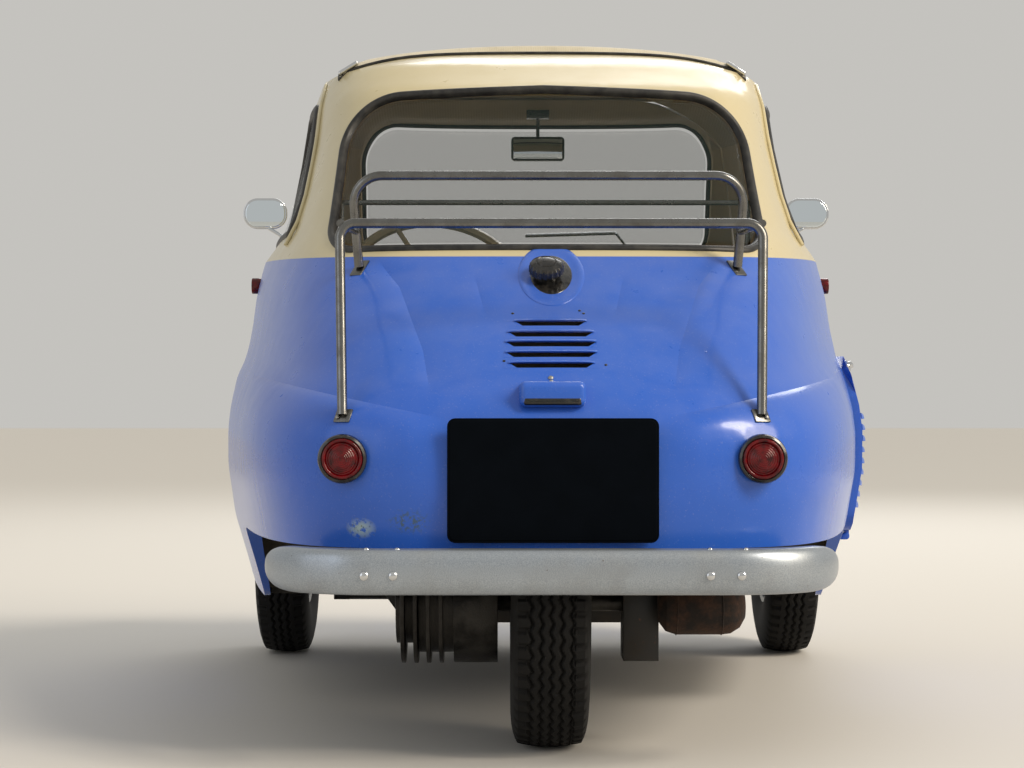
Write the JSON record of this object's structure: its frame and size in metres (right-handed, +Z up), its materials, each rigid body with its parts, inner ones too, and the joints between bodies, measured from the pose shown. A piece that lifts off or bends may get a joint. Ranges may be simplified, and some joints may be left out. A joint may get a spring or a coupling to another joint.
{
  "type": "bubble car",
  "caption": "Small egg-shaped three-wheeled bubble car with a front-opening door, rear luggage rack, round lamps and a fabric sunroof.",
  "frame": {"origin": "on the ground, under the middle of the car's length and width", "axes": "+X to the car's left, +Y to its rear, +Z up; the front door faces -Y"},
  "size_m": [1.4092, 2.2896, 1.3379],
  "materials": {
    "paint_blue": "semi-gloss, worn and dusty",
    "paint_cream": "semi-gloss, worn",
    "paint_silver": "satin, worn",
    "paint_black": "satin",
    "chrome": "polished, slightly pitted",
    "cast_alloy": "as cast, oily",
    "rusty_steel": "dull, rusted",
    "glazing": "clear",
    "seal_rubber": "matte",
    "tyre_rubber": "matte",
    "lens_red": "gloss",
    "black_plastic": "gloss",
    "plate_enamel": "satin",
    "seat_vinyl": "satin",
    "roof_fabric": "matte",
    "cream_enamel": "gloss"
  },
  "bodies": {
    "body": {"body_lower": "paint_blue", "cabin_upper": "paint_cream", "rear_window_seal": "seal_rubber", "rear_window": "glazing", "side_window_seals": "seal_rubber", "side_windows": "glazing", "sunroof": "roof_fabric", "floor_pan": "paint_black", "bulkhead": "paint_cream", "chassis_frame": "paint_black", "front_axle": "paint_black", "chain_case": "cast_alloy", "rear_spring": "paint_black", "engine_block": "cast_alloy", "exhaust": "rusty_steel", "rear_bumper": "paint_silver", "front_bumpers": "chrome", "luggage_rack": "chrome", "number_plate": "plate_enamel", "plate_lamp": "paint_blue", "tail_lamps": "chrome", "tail_lamp_lenses": "lens_red", "headlamps": "paint_blue", "headlamp_glasses": "glazing", "cover_hinges": "paint_blue", "filler_cap": "black_plastic", "side_lamps": "lens_red", "outside_mirrors": "chrome", "seat_base": "seat_vinyl", "seat_back": "seat_vinyl", "parcel_rail": "chrome", "hinge_brackets": "paint_blue"},
    "door": {"door_lower": "paint_blue", "door_upper": "paint_cream", "windscreen": "glazing", "windscreen_seal": "seal_rubber", "steering_column": "paint_black", "door_hinges": "paint_blue", "door_handle": "chrome", "wiper": "chrome", "inside_mirror": "black_plastic"},
    "steering_wheel": {"steering_wheel": "cream_enamel"},
    "knuckle_left": {"knuckle_left": "cast_alloy"},
    "knuckle_right": {"knuckle_right": "cast_alloy"},
    "wheel_front_left": {"tyre_front_left": "tyre_rubber", "rim_front_left": "paint_silver"},
    "wheel_front_right": {"tyre_front_right": "tyre_rubber", "rim_front_right": "paint_silver"},
    "wheel_rear": {"tyre_rear": "tyre_rubber", "rim_rear": "paint_silver"},
    "engine_cover": {"engine_cover": "paint_blue"}
  },
  "joints": [
    {"name": "door_hinge", "type": "hinge", "parent": "body", "child": "door", "pos_m": [0.5, -1.1235, 0.53], "axis": [0, 0, 1], "range_deg": [0, 80]},
    {"name": "steer_left", "type": "hinge", "parent": "body", "child": "knuckle_left", "pos_m": [0.535, -0.7775, 0.25], "axis": [0, 0, 1], "range_deg": [-26, 26]},
    {"name": "steer_right", "type": "hinge", "parent": "body", "child": "knuckle_right", "pos_m": [-0.535, -0.7775, 0.25], "axis": [0, 0, 1], "range_deg": [-26, 26]},
    {"name": "steering_wheel_turn", "type": "hinge", "parent": "door", "child": "steering_wheel", "pos_m": [0.235, -0.5175, 0.85], "axis": [-0.1122, 0.7478, 0.6543], "range_deg": [-320, 320]},
    {"name": "wheel_front_left_roll", "type": "hinge", "parent": "knuckle_left", "child": "wheel_front_left", "pos_m": [0.595, -0.7775, 0.25], "axis": [1, 0, 0], "continuous": true},
    {"name": "wheel_front_right_roll", "type": "hinge", "parent": "knuckle_right", "child": "wheel_front_right", "pos_m": [-0.595, -0.7775, 0.25], "axis": [1, 0, 0], "continuous": true},
    {"name": "wheel_rear_roll", "type": "hinge", "parent": "body", "child": "wheel_rear", "pos_m": [0, 0.7225, 0.25], "axis": [1, 0, 0], "continuous": true},
    {"name": "engine_cover_hinge", "type": "hinge", "parent": "body", "child": "engine_cover", "pos_m": [-0.63411, -0.0375, 0.33], "axis": [-0.1416, -0.9899, 0], "range_deg": [0, 70]}
  ],
  "couplings": [
    {"joint": "steer_right", "follows": "steer_left", "ratio": 1},
    {"joint": "steering_wheel_turn", "follows": "steer_left", "ratio": 12}
  ]
}
